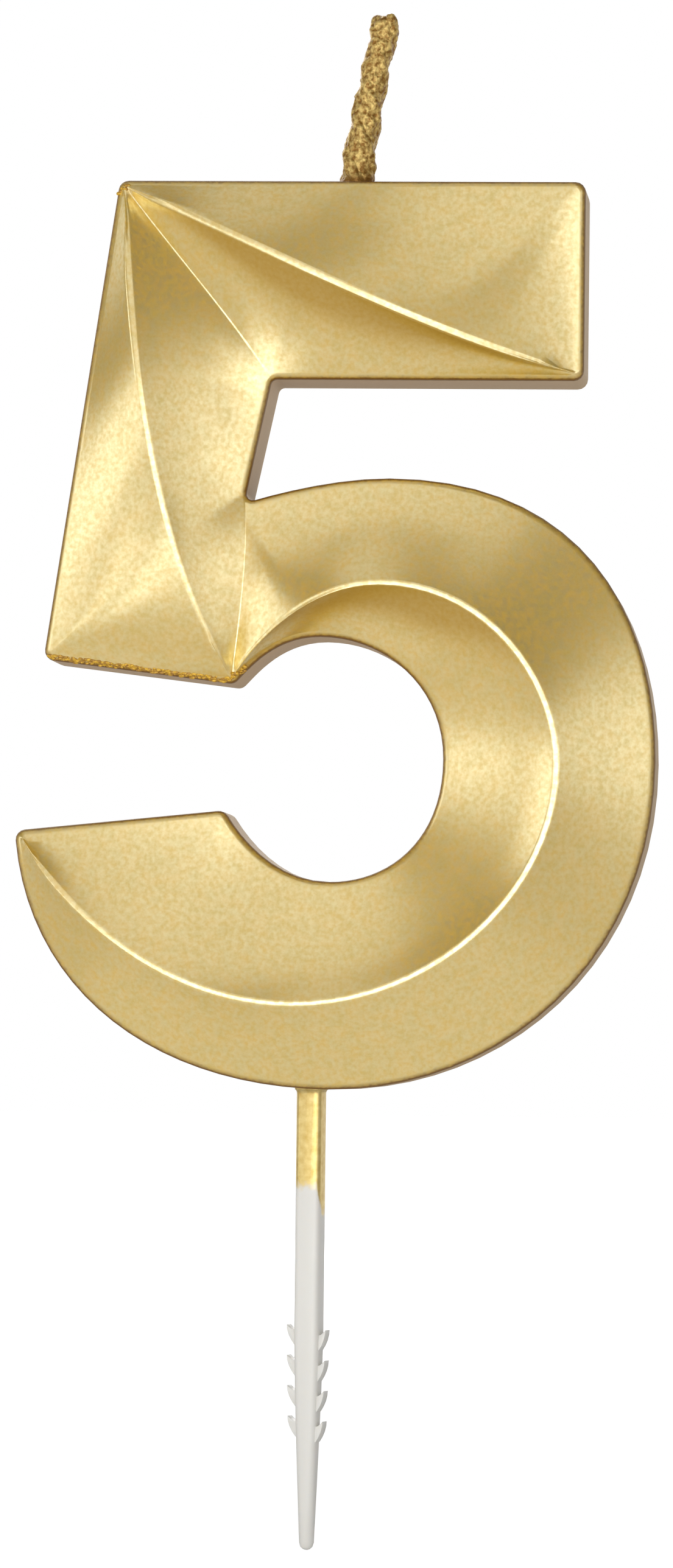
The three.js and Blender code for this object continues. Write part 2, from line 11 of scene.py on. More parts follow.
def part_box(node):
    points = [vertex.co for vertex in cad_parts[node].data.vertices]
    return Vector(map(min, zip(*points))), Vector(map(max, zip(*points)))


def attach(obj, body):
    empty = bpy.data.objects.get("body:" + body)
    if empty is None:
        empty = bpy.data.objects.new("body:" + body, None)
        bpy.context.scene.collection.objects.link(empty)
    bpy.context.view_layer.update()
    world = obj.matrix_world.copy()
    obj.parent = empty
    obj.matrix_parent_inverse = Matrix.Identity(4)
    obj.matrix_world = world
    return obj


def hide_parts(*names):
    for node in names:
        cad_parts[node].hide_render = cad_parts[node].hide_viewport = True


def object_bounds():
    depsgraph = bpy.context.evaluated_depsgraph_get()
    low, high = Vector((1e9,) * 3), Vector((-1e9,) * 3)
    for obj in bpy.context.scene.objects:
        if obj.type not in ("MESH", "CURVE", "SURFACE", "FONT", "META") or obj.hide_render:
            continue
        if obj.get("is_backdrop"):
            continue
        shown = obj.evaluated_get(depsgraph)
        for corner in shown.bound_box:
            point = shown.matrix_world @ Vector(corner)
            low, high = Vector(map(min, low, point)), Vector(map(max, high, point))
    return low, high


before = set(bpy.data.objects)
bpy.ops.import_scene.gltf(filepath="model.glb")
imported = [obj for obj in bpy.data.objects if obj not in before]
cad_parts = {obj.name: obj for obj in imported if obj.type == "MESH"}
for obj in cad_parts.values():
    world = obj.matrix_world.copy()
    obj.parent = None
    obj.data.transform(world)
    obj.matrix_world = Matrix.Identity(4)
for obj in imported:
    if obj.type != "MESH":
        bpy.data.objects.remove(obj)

bl_info = {
    "name": "Number Candle",
    "version": (1, 0, 0),
    "blender": (4, 5, 0),
    "location": "View3D > Sidebar > Candle",
    "description": "Gold lacquered wax numeral with a cotton wick and a barbed cake pick",
    "category": "Object",
}

BODY = "root"
MM = 0.001
STRANDS = ("wick_strand_1", "wick_strand_2", "wick_strand_3")

# Where beads of lacquer dried on the front: X and Z of both ends of a run, in millimetres,
# and the number of beads
BEAD_RUNS = (
    ((-20.4, 33.2), (-13.0, 32.3), 100),
    ((-13.0, 32.3), (-6.6, 31.5), 80),
    ((-6.6, 31.5), (-5.2, 32.4), 24),
    ((-15.4, 69.2), (-14.7, 69.85), 9),
)

# Lamps of the studio: name, place, aim, width and height in metres, and the brightness of
# the face, where 1 is white
MIDDLE = (0, 0, 0.03)
LAMPS = (
    ("front_strip", (0, -1.0, 0.04), MIDDLE, 2.0, 0.34, 1.95),
    ("front_softbox", (0, -0.98, 0.04), MIDDLE, 0.6, 0.45, 1.5),
    ("left_softbox", (-0.85, -0.72, 0.1), MIDDLE, 0.5, 0.5, 0.58),
    ("far_left_softbox", (-1.1, -0.4, 0.25), MIDDLE, 0.6, 0.6, 1.9),
    ("right_softbox", (0.85, -0.72, 0.12), MIDDLE, 0.5, 0.5, 1.0),
    ("far_right_softbox", (1.1, -0.4, 0.2), MIDDLE, 0.6, 0.6, 0.3),
    ("top_softbox", (-0.1, -0.86, 0.6), MIDDLE, 0.8, 0.7, 0.8),
    ("overhead_softbox", (-0.2, -0.25, 1.0), MIDDLE, 0.6, 0.6, 0.6),
    ("back_softbox", (-0.25, 0.9, 0.4), MIDDLE, 0.9, 0.7, 2.2),
    ("front_card", (0, -0.27, -0.002), (0, 0, 0.05), 0.24, 0.065, 2.4),
    ("floor_card", (0, -0.07, -0.034), (0, -0.07, 1.0), 0.14, 0.1, 0.2),
)

# Brightness of the room in front of the candle, of the white backdrop and of the light that
# comes through the table
ROOM_BRIGHTNESS = 0.13
BACKDROP_BRIGHTNESS = 1.0
TABLE_BRIGHTNESS = 0.25

# Half the floor's width, in metres
FLOOR_REACH = 6.0

# The camera, matched to the photo's outlines: lens and sensor in millimetres, roll in degrees
CAMERA_PLACE = (0.04642, -0.60425, 0.00139)
CAMERA_AIM = (0.00198, -0.00425, 0.02353)
CAMERA_LENS = 179.4
CAMERA_SENSOR = 36.0
CAMERA_ROLL = 0.65


def linear_colour(code):
    """Linear RGB of an sRGB hex colour such as C9AE62."""
    parts = [int(code[i:i + 2], 16) / 255 for i in (0, 2, 4)]
    return [c / 12.92 if c <= 0.04045 else ((c + 0.055) / 1.055) ** 2.4 for c in parts]


def size_setting(name, description, millimetres):
    """A length that the user can change."""
    return FloatProperty(
        name=name,
        description=description,
        default=millimetres * MM,
        precision=5,
        subtype="DISTANCE",
        unit="LENGTH",
    )


def colour_setting(name, description, code):
    """A colour that the user can change, given as an sRGB hex code."""
    return FloatVectorProperty(
        name=name,
        description=description,
        default=linear_colour(code),
        size=3,
        min=0.0,
        max=1.0,
        subtype="COLOR",
    )


class CandleSizes(bpy.types.PropertyGroup):
    """Sizes of the finish that the moulded parts get."""

    back_rounding: size_setting(
        "Back edge rounding", "Width of the rounding along the edge of the flat back", 0.3
    )
    pick_rounding: size_setting(
        "Pick rounding", "Width of the rounding along the edges of the barbs", 0.06
    )
    grain: size_setting("Grain", "Size of the clouds of flakes in the lacquer", 0.36)
    bead: size_setting("Bead", "Usual radius of a bead of dried lacquer", 0.14)
    strand_lump: size_setting(
        "Strand lump", "How far the lumps of the wick's strands stand out", 0.12
    )
    collar: size_setting(
        "Collar", "How far the lacquer draws out where the pick enters the wax", 0.17
    )
    overspray_end: size_setting(
        "Overspray end", "How far below the numeral the gold on the pick ends", 7.5
    )


class CandleColours(bpy.types.PropertyGroup):
    """Colours of the finishes."""

    lacquer: colour_setting("Lacquer", "Gold binder between the flakes", "D6A932")
    # Painted shade: deeper gold on the slopes that face down below the ridges
    ridge_shade: colour_setting("Deep", "Gold binder sheltered below the ridges", "B38B2C")
    olive: colour_setting("Olive", "Gold binder where the lacquer lies thinner", "CBA636")
    pool: colour_setting("Pool", "Lacquer that ran together into beads", "A87C2E")
    # Dark brown along the rounded front edge, fading into the haze on the walls
    edge: colour_setting("Edge", "Lacquer gathered along the rounded front edge", "7A5218")
    haze: colour_setting("Haze", "Thin lacquer on the side walls", "B9976A")
    flake: colour_setting("Flake", "Pale metal flakes in the lacquer", "FEF5C9")
    # Painted shade and highlight of the wick: the shade colour fills the hollows of the lumps
    # and the base at the bar, the glint colour the tops of the lumps
    wick_hollow_shade: colour_setting("Wick shade", "Gold soaked into the cotton", "8C611C")
    wick_lump_glint: colour_setting("Wick glint", "Gold on the outside of the fibres", "DCBD70")
    pick: colour_setting("Pick", "Plastic of the cake pick", "E2E0DA")
    overspray: colour_setting("Overspray", "Gold sprayed onto the pick", "EEDC9C")
    overspray_shade: colour_setting("Overspray shade", "Thin gold on the pick", "BA943E")
    floor: colour_setting("Floor", "Pale studio floor", "BCBCBC")


# Materials


def add_node(tree, kind, settings=None, inputs=None):
    """Adds a node, sets its properties and fills its inputs with values or links."""
    node = tree.nodes.new(kind)
    for name, value in (settings or {}).items():
        setattr(node, name, value)
    for name, value in (inputs or {}).items():
        socket = node.inputs[name]
        if isinstance(value, bpy.types.NodeSocket):
            tree.links.new(value, socket)
        else:
            socket.default_value = value
    return node


def new_material(name):
    """An empty node material with its output node."""
    material = bpy.data.materials.new(name)
    material.use_nodes = True
    tree = material.node_tree
    tree.nodes.clear()
    output = add_node(tree, "ShaderNodeOutputMaterial")
    return material, tree, output


def opaque(colour):
    """The colour with full cover, as node sockets want it."""
    return (colour[0], colour[1], colour[2], 1.0)


def lacquer_depth(tree, place, clouds):
    """Masks of the numeral's sides, made ragged by the clouds of flakes.

    The first covers the rounded front edge and the walls, the second the walls alone. Both
    end at the flat back.
    """
    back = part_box("wax_numeral")[1].y
    front = -back
    ragged = 0.3 * MM
    edge_start = front + 0.14 * MM
    edge_full = front + 0.5 * MM
    wall_start = front + 0.7 * MM
    wall_full = front + 1.1 * MM
    wall_end = back - 0.5 * MM
    back_start = back - 0.1 * MM
    depth = add_node(tree, "ShaderNodeSeparateXYZ", inputs={"Vector": place}).outputs["Y"]
    ragged_depth = add_node(
        tree,
        "ShaderNodeMath",
        {"operation": "MULTIPLY_ADD"},
        {0: clouds, 1: ragged, 2: depth},
    ).outputs[0]
    behind_edge = add_node(
        tree,
        "ShaderNodeMapRange",
        {"interpolation_type": "SMOOTHSTEP"},
        {"Value": ragged_depth, "From Min": edge_start, "From Max": edge_full},
    )
    not_back = add_node(
        tree,
        "ShaderNodeMapRange",
        inputs={
            "Value": depth,
            "From Min": wall_end,
            "From Max": back_start,
            "To Min": 1.0,
            "To Max": 0.0,
        },
    )
    side = add_node(
        tree,
        "ShaderNodeMath",
        {"operation": "MULTIPLY"},
        {0: behind_edge.outputs["Result"], 1: not_back.outputs["Result"]},
    )
    wall = add_node(
        tree,
        "ShaderNodeMapRange",
        {"interpolation_type": "SMOOTHSTEP"},
        {"Value": ragged_depth, "From Min": wall_start, "From Max": wall_full},
    )
    return side.outputs[0], wall.outputs["Result"]


def binder_colour(tree, place, masks, sizes, colours):
    """Gold in faintly olive patches, with painted shade on the down-facing slopes below the
    ridges, brown at the rounded front edge, then haze.
    """
    side, wall, painted_shade = masks
    patch_size = 3 * sizes.grain
    thinner_from = 0.35
    thinnest_at = 0.65
    patches = add_node(
        tree,
        "ShaderNodeTexNoise",
        inputs={"Vector": place, "Scale": 1 / patch_size, "Detail": 2.0},
    ).outputs["Fac"]
    patch = add_node(
        tree,
        "ShaderNodeMapRange",
        inputs={"Value": patches, "From Min": thinner_from, "From Max": thinnest_at},
    )
    front_colour = add_node(
        tree,
        "ShaderNodeMix",
        {"data_type": "RGBA"},
        {
            "Factor": patch.outputs["Result"],
            "A": opaque(colours.lacquer),
            "B": opaque(colours.olive),
        },
    )
    # Painted shade: deeper gold on the down-facing slopes below the ridges
    with_painted_shade = add_node(
        tree,
        "ShaderNodeMix",
        {"data_type": "RGBA"},
        {
            "Factor": painted_shade,
            "A": front_colour.outputs["Result"],
            "B": opaque(colours.ridge_shade),
        },
    )
    side_colour = add_node(
        tree,
        "ShaderNodeMix",
        {"data_type": "RGBA"},
        {"Factor": wall, "A": opaque(colours.edge), "B": opaque(colours.haze)},
    )
    whole = add_node(
        tree,
        "ShaderNodeMix",
        {"data_type": "RGBA"},
        {
            "Factor": side,
            "A": with_painted_shade.outputs["Result"],
            "B": side_colour.outputs["Result"],
        },
    )
    return whole.outputs["Result"]


def paint_shade_below_ridges(tree, place):
    """Mask of painted shade on the slopes that look down just below a ridge, except low on the
    bowl.

    The slope is told by how far the surface's normal points up, the nearness to a ridge by
    how far the relief stands out there.
    """
    front = -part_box("wax_numeral")[1].y
    slope_start = -0.22
    slope_full = -0.48
    relief_start = front - 0.4 * MM
    relief_full = front - 2.2 * MM
    shade_full_height = 26 * MM
    shade_start_height = 12 * MM
    facing = add_node(tree, "ShaderNodeNewGeometry").outputs["Normal"]
    upward = add_node(tree, "ShaderNodeSeparateXYZ", inputs={"Vector": facing}).outputs["Z"]
    looks_down = add_node(
        tree,
        "ShaderNodeMapRange",
        {"interpolation_type": "SMOOTHSTEP"},
        {
            "Value": upward,
            "From Min": slope_full,
            "From Max": slope_start,
            "To Min": 1.0,
            "To Max": 0.0,
        },
    )
    parts = add_node(tree, "ShaderNodeSeparateXYZ", inputs={"Vector": place})
    near_ridge = add_node(
        tree,
        "ShaderNodeMapRange",
        {"interpolation_type": "SMOOTHSTEP"},
        {
            "Value": parts.outputs["Y"],
            "From Min": relief_full,
            "From Max": relief_start,
            "To Min": 1.0,
            "To Max": 0.0,
        },
    )
    under_ridge = add_node(
        tree,
        "ShaderNodeMath",
        {"operation": "MULTIPLY"},
        {0: looks_down.outputs["Result"], 1: near_ridge.outputs["Result"]},
    )
    # The painted shade fades out low on the bowl
    above_low_bowl = add_node(
        tree,
        "ShaderNodeMapRange",
        inputs={"Value": parts.outputs["Z"], "From Min": shade_start_height, "From Max": shade_full_height},
    )
    painted_shade = add_node(
        tree,
        "ShaderNodeMath",
        {"operation": "MULTIPLY"},
        {0: under_ridge.outputs[0], 1: above_low_bowl.outputs["Result"]},
    )
    return painted_shade.outputs[0]


def flake_cover(tree, clouds, side, painted_shade):
    """Share of the surface that the flakes cover: less at the sides, and less below the ridges
    as painted shade.
    """
    few_flakes = 0.3
    many_flakes = 0.7
    least_cover = 0.31
    most_cover = 0.59
    left_on_sides = 0.12
    left_in_painted_shade = 0.3
    front_cover = add_node(
        tree,
        "ShaderNodeMapRange",
        inputs={
            "Value": clouds,
            "From Min": few_flakes,
            "From Max": many_flakes,
            "To Min": least_cover,
            "To Max": most_cover,
        },
    )
    side_thinning = add_node(
        tree,
        "ShaderNodeMapRange",
        inputs={"Value": side, "To Min": 1.0, "To Max": left_on_sides},
    )
    painted_shade_thinning = add_node(
        tree,
        "ShaderNodeMapRange",
        inputs={"Value": painted_shade, "To Min": 1.0, "To Max": left_in_painted_shade},
    )
    thinning = add_node(
        tree,
        "ShaderNodeMath",
        {"operation": "MULTIPLY"},
        {0: side_thinning.outputs["Result"], 1: painted_shade_thinning.outputs["Result"]},
    )
    cover = add_node(
        tree,
        "ShaderNodeMath",
        {"operation": "MULTIPLY"},
        {0: front_cover.outputs["Result"], 1: thinning.outputs[0]},
    )
    return cover.outputs[0]


def satin_gold_lacquer(sizes, colours):
    """Moulded wax sprayed from the front with a satin metallic lacquer.

    Faces turned away from the lamps show the gold binder. The pale flakes are smooth metal
    and light up where a face mirrors a lamp. Clouds of more and fewer flakes give the
    grain: real flakes are too fine to show. Slopes that face down below a ridge get painted
    shade: fewer flakes and a deeper gold, except low on the bowl. The colour turns dark brown
    along the rounded front edge, and the lacquer is only a haze on the side walls.
    """
    material, tree, output = new_material("satin_gold_lacquer_on_wax")
    place = add_node(tree, "ShaderNodeTexCoord").outputs["Object"]
    clouds = add_node(
        tree,
        "ShaderNodeTexNoise",
        inputs={"Vector": place, "Scale": 1 / sizes.grain, "Detail": 2.0},
    ).outputs["Fac"]
    side, wall = lacquer_depth(tree, place, clouds)
    painted_shade = paint_shade_below_ridges(tree, place)
    masks = (side, wall, painted_shade)
    bump = add_node(
        tree,
        "ShaderNodeBump",
        inputs={"Strength": 0.4, "Distance": 0.01 * MM, "Height": clouds},
    )
    binder = add_node(
        tree,
        "ShaderNodeBsdfPrincipled",
        inputs={
            "Base Color": binder_colour(tree, place, masks, sizes, colours),
            "Metallic": 0.0,
            "Roughness": 0.6,
            "Specular IOR Level": 0.2,
            "Normal": bump.outputs["Normal"],
        },
    )
    flake = add_node(
        tree,
        "ShaderNodeBsdfPrincipled",
        inputs={
            "Base Color": opaque(colours.flake),
            "Metallic": 1.0,
            "Roughness": 0.28,
            "Normal": bump.outputs["Normal"],
        },
    )
    shader = add_node(
        tree,
        "ShaderNodeMixShader",
        inputs={
            "Fac": flake_cover(tree, clouds, side, painted_shade),
            1: binder.outputs["BSDF"],
            2: flake.outputs["BSDF"],
        },
    )
    tree.links.new(shader.outputs["Shader"], output.inputs["Surface"])
    return material


def pooled_lacquer(sizes, colours):
    """Thick lacquer that ran together before it dried: satin, brown with bright gold spots."""
    material, tree, output = new_material("pooled_gold_lacquer")
    spot_size = 2 * sizes.bead
    spot_start = 0.42
    spot_full = 0.62
    place = add_node(tree, "ShaderNodeTexCoord").outputs["Object"]
    spots = add_node(
        tree,
        "ShaderNodeTexNoise",
        inputs={"Vector": place, "Scale": 1 / spot_size, "Detail": 1.0},
    ).outputs["Fac"]
    share = add_node(
        tree,
        "ShaderNodeMapRange",
        {"interpolation_type": "SMOOTHSTEP"},
        {"Value": spots, "From Min": spot_start, "From Max": spot_full},
    )
    colour = add_node(
        tree,
        "ShaderNodeMix",
        {"data_type": "RGBA"},
        {
            "Factor": share.outputs["Result"],
            "A": opaque(colours.pool),
            "B": opaque(colours.lacquer),
        },
    )
    shader = add_node(
        tree,
        "ShaderNodeBsdfPrincipled",
        inputs={
            "Base Color": colour.outputs["Result"],
            "Metallic": 0.3,
            "Roughness": 0.4,
        },
    )
    tree.links.new(shader.outputs["BSDF"], output.inputs["Surface"])
    return material


def gold_coated_cotton(colours):
    """Waxed cotton soaked with the same lacquer, with painted highlight and shade: pale gold on
    the tops of the lumps and brown in their hollows, as the same noise raises the bump.

    Painted shade also darkens the wick where it leaves the bar.
    """
    material, tree, output = new_material("gold_coated_cotton")
    bar_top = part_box("wax_numeral")[1].z
    base_shade_full = bar_top + 0.3 * MM
    base_shade_end = bar_top + 1.1 * MM
    clump_size = 0.35 * MM
    glint_start = 0.36
    glint_full = 0.64
    fibre_relief = 0.12 * MM
    place = add_node(tree, "ShaderNodeTexCoord").outputs["Object"]
    height = add_node(tree, "ShaderNodeSeparateXYZ", inputs={"Vector": place}).outputs["Z"]
    clumps = add_node(
        tree,
        "ShaderNodeTexNoise",
        inputs={"Vector": place, "Scale": 1 / clump_size, "Detail": 2.0, "Roughness": 0.5},
    ).outputs["Fac"]
    # Painted highlight on the lump tops and painted shade in their hollows, following the bump's
    # noise
    share = add_node(
        tree,
        "ShaderNodeMapRange",
        inputs={"Value": clumps, "From Min": glint_start, "From Max": glint_full},
    )
    # Painted shade at the wick's base, where it leaves the bar
    above_base_shade = add_node(
        tree,
        "ShaderNodeMapRange",
        {"interpolation_type": "SMOOTHSTEP"},
        {"Value": height, "From Min": base_shade_full, "From Max": base_shade_end},
    )
    highlight_share = add_node(
        tree,
        "ShaderNodeMath",
        {"operation": "MULTIPLY"},
        {0: share.outputs["Result"], 1: above_base_shade.outputs["Result"]},
    )
    colour = add_node(
        tree,
        "ShaderNodeMix",
        {"data_type": "RGBA"},
        {
            "Factor": highlight_share.outputs[0],
            "A": opaque(colours.wick_hollow_shade),
            "B": opaque(colours.wick_lump_glint),
        },
    )
    bump = add_node(
        tree,
        "ShaderNodeBump",
        inputs={"Strength": 1.0, "Distance": fibre_relief, "Height": clumps},
    )
    shader = add_node(
        tree,
        "ShaderNodeBsdfPrincipled",
        inputs={
            "Base Color": colour.outputs["Result"],
            "Metallic": 0.45,
            "Roughness": 0.4,
            "Normal": bump.outputs["Normal"],
        },
    )
    tree.links.new(shader.outputs["BSDF"], output.inputs["Surface"])
    return material


def white_pick_plastic(sizes, colours):
    """Moulded polypropylene, satin and slightly translucent, with gold overspray at the top.

    The spray came from the right as well, so it reaches farther down on that side. In random
    speckles the gold is thin and brown.
    """
    material, tree, output = new_material("white_polypropylene_with_gold_overspray")
    speckle_size = 0.5 * MM
    right_start = 0.55 * MM
    right_full = 0.95 * MM
    farther_on_right = 2.2 * MM
    ragged = 1.2 * MM
    spray_start = -sizes.overspray_end + 0.2 * MM
    spray_full = -sizes.overspray_end + 1.1 * MM
    metal_share = 0.8
    place = add_node(tree, "ShaderNodeTexCoord").outputs["Object"]
    parts = add_node(tree, "ShaderNodeSeparateXYZ", inputs={"Vector": place})
    speckle = add_node(
        tree,
        "ShaderNodeTexNoise",
        inputs={"Vector": place, "Scale": 1 / speckle_size, "Detail": 3.0},
    ).outputs["Fac"]
    farther = add_node(
        tree,
        "ShaderNodeMapRange",
        inputs={
            "Value": parts.outputs["X"],
            "From Min": right_start,
            "From Max": right_full,
            "To Max": farther_on_right,
        },
    )
    reach = add_node(
        tree,
        "ShaderNodeMath",
        {"operation": "ADD"},
        {0: parts.outputs["Z"], 1: farther.outputs["Result"]},
    )
    ragged_reach = add_node(
        tree,
        "ShaderNodeMath",
        {"operation": "MULTIPLY_ADD"},
        {0: speckle, 1: ragged, 2: reach.outputs[0]},
    )
    gold = add_node(
        tree,
        "ShaderNodeMapRange",
        {"interpolation_type": "SMOOTHSTEP"},
        {
            "Value": ragged_reach.outputs[0],
            "From Min": spray_start,
            "From Max": spray_full,
        },
    ).outputs["Result"]
    gold_colour = add_node(
        tree,
        "ShaderNodeMix",
        {"data_type": "RGBA"},
        {
            "Factor": speckle,
            "A": opaque(colours.overspray_shade),
            "B": opaque(colours.overspray),
        },
    )
    colour = add_node(
        tree,
        "ShaderNodeMix",
        {"data_type": "RGBA"},
        {
            "Factor": gold,
            "A": opaque(colours.pick),
            "B": gold_colour.outputs["Result"],
        },
    )
    metallic = add_node(
        tree,
        "ShaderNodeMath",
        {"operation": "MULTIPLY"},
        {0: gold, 1: metal_share},
    )
    shader = add_node(
        tree,
        "ShaderNodeBsdfPrincipled",
        inputs={
            "Base Color": colour.outputs["Result"],
            "Metallic": metallic.outputs[0],
            "Roughness": 0.36,
            "IOR": 1.49,
            "Subsurface Weight": 0.25,
            "Subsurface Radius": (0.6 * MM, 0.5 * MM, 0.4 * MM),
            "Subsurface Scale": 1.0,
        },
    )
    tree.links.new(shader.outputs["BSDF"], output.inputs["Surface"])
    return material


# Meshes


def merged_copy(node):
    """A bmesh of a CAD node with its loose triangles joined at their corners."""
    same_corner = 0.002 * MM
    no_length = 0.0005 * MM
    bm = bmesh.new()
    bm.from_mesh(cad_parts[node].data)
    bmesh.ops.remove_doubles(bm, verts=bm.verts, dist=same_corner)
    bmesh.ops.dissolve_degenerate(bm, dist=no_length, edges=bm.edges)
    return bm


def finished_piece(name, bm, material, replaced):
    """Puts a bmesh into a smooth shaded object that rides on the candle's body."""
    for face in bm.faces:
        face.smooth = True
    mesh = bpy.data.meshes.new(name)
    bm.to_mesh(mesh)
    bm.free()
    mesh.materials.append(material)
    piece = bpy.data.objects.new(name, mesh)
    bpy.context.scene.collection.objects.link(piece)
    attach(piece, BODY)
    if replaced:
        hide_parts(*replaced)
    return piece


def weighted_normals(piece):
    """Lets the large faces set the shading, so that only the roundings turn it."""
    modifier = piece.modifiers.new("Weighted normals", "WEIGHTED_NORMAL")
    modifier.weight = 60
    modifier.keep_sharp = False


def bevel_edges(bm, edges, offset, segments):
    """Rounds edges in a number of steps."""
    bmesh.ops.bevel(
        bm,
        geom=edges,
        offset=offset,
        offset_type="OFFSET",
        affect="EDGES",
        segments=segments,
        profile=0.5,
        material=-1,
        clamp_overlap=False,
    )


def fold(edge):
    """Angle between the two faces of an edge, in degrees."""
    return math.degrees(edge.calc_face_angle(0.0))


def lies_on_back(part, back):
    """Tells whether a face or an edge lies in the flat back, given the back's depth."""
    slack = 0.01 * MM
    return all(vertex.co.y > back - slack for vertex in part.verts)


class CANDLE_OT_numeral(bpy.types.Operator):
    """Build the lacquered wax numeral"""

    bl_idname = "candle.numeral"
    bl_label = "Wax numeral"

    def execute(self, context):
        sizes = context.scene.candle_sizes
        colours = context.scene.candle_colours
        nearly_flat = math.radians(3)
        corner_slack = math.radians(50)
        sharp_fold = 60
        rounding_steps = 3
        bm = merged_copy("wax_numeral")
        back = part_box("wax_numeral")[1].y
        back_faces = [face for face in bm.faces if lies_on_back(face, back)]
        bmesh.ops.dissolve_faces(bm, faces=back_faces)
        bmesh.ops.join_triangles(
            bm,
            faces=bm.faces,
            angle_face_threshold=nearly_flat,
            angle_shape_threshold=corner_slack,
        )
        back_edges = [
            edge for edge in bm.edges if lies_on_back(edge, back) and fold(edge) > sharp_fold
        ]
        bevel_edges(bm, back_edges, sizes.back_rounding, rounding_steps)
        material = satin_gold_lacquer(sizes, colours)
        piece = finished_piece(
            "lacquered_numeral", bm, material, ["wax_numeral"]
        )
        weighted_normals(piece)
        return {"FINISHED"}


def make_lumpy(bm, lump, height):
    """Moves the surface in and out by about a height, in lumps of the given size.

    The lumps carry two sets of finer ones, each half as large as the last.
    """
    fade = 1.0
    finer = 2.0
    sets = 3
    bm.normal_update()
    for vertex in bm.verts:
        swell = noise.fractal(vertex.co / lump, fade, finer, sets)
        vertex.co += vertex.normal * swell * height


def keep_below(bm, height):
    """Flattens what a lump raised above a height."""
    for vertex in bm.verts:
        vertex.co.z = min(vertex.co.z, height)


def sort_faces(bm):
    """Orders the faces by their corners, because spin makes them in a new order each run."""
    bm.verts.index_update()
    count = len(bm.verts)

    def rank(face):
        corners = [vertex.index for vertex in face.verts]
        return float(max(corners) * count + min(corners))

    bm.faces.sort(key=rank)


def spun(bm, profile, steps):
    """Turns a profile of radius and height round the Z axis into a closed skin."""
    same_corner = 0.001 * MM
    corners = [bm.verts.new((radius, 0, height)) for radius, height in profile]
    edges = [bm.edges.new(pair) for pair in zip(corners, corners[1:])]
    bmesh.ops.spin(
        bm,
        geom=corners + edges,
        axis=(0, 0, 1),
        cent=(0, 0, 0),
        steps=steps,
        angle=2 * math.pi,
        use_merge=True,
    )
    bmesh.ops.remove_doubles(bm, verts=bm.verts, dist=same_corner)
    bmesh.ops.recalc_face_normals(bm, faces=bm.faces)
    sort_faces(bm)


def front_point(skin, x, z):
    """The point of the front that lies at X and Z, or None beside the numeral."""
    well_before = Vector((x, -50 * MM, z))
    backward = Vector((0, 1, 0))
    return skin.ray_cast(well_before, backward)[0]


def add_bead(bm, place, radius):
    """A flat, drawn-out drop of lacquer."""
    proportions = Vector((1.5, 0.6, 0.9))
    bmesh.ops.create_icosphere(
        bm,
        subdivisions=3,
        radius=1.0,
        matrix=Matrix.LocRotScale(place, None, proportions * radius),
    )


class CANDLE_OT_beads(bpy.types.Operator):
    """Build the beads of lacquer that dried along the foot of the stem"""

    bl_idname = "candle.beads"
    bl_label = "Lacquer beads"

    def execute(self, context):
        sizes = context.scene.candle_sizes
        colours = context.scene.candle_colours
        chance = random.Random(5)
        spread = 0.16
        smallest = 0.5
        largest = 1.3
        lump_size = 0.15 * MM
        lump_height = 0.03 * MM
        numeral = merged_copy("wax_numeral")
        skin = BVHTree.FromBMesh(numeral)
        numeral.free()
        bm = bmesh.new()
        for start, end, count in BEAD_RUNS:
            for k in range(count):
                share = (k + chance.random()) / count
                across = chance.uniform(-spread, spread)
                radius = sizes.bead * chance.uniform(smallest, largest)
                x = start[0] + (end[0] - start[0]) * share
                z = start[1] + (end[1] - start[1]) * share + across
                place = front_point(skin, x * MM, z * MM)
                if place is not None:
                    add_bead(bm, place, radius)
        make_lumpy(bm, lump_size, lump_height)
        material = pooled_lacquer(sizes, colours)
        finished_piece("lacquer_beads", bm, material, [])
        return {"FINISHED"}


def wick_middle(height):
    """X of the middle of the three strands at a height, read from the CAD strands."""
    reach = 0.6 * MM
    near = [
        vertex.co.x
        for node in STRANDS
        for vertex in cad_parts[node].data.vertices
        if abs(vertex.co.z - height) < reach
    ]
    return (min(near) + max(near)) / 2


def strand_tips():
    """Heights at which the strands end."""
    return [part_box(node)[1].z for node in STRANDS]


def lean_like_wick(bm, bottom, top):
    """Moves a straight filling sideways so that it follows the strands up to a height.

    Above it the filling goes straight up, because some strands end there.
    """
    steps = 24
    last_share = 0.999
    middles = [wick_middle(bottom + (top - bottom) * k / steps) for k in range(steps + 1)]
    for vertex in bm.verts:
        share = (vertex.co.z - bottom) / (top - bottom)
        place = min(max(share, 0.0), last_share) * steps
        below = int(place)
        rise = middles[below + 1] - middles[below]
        vertex.co.x += middles[below] + rise * (place - below)


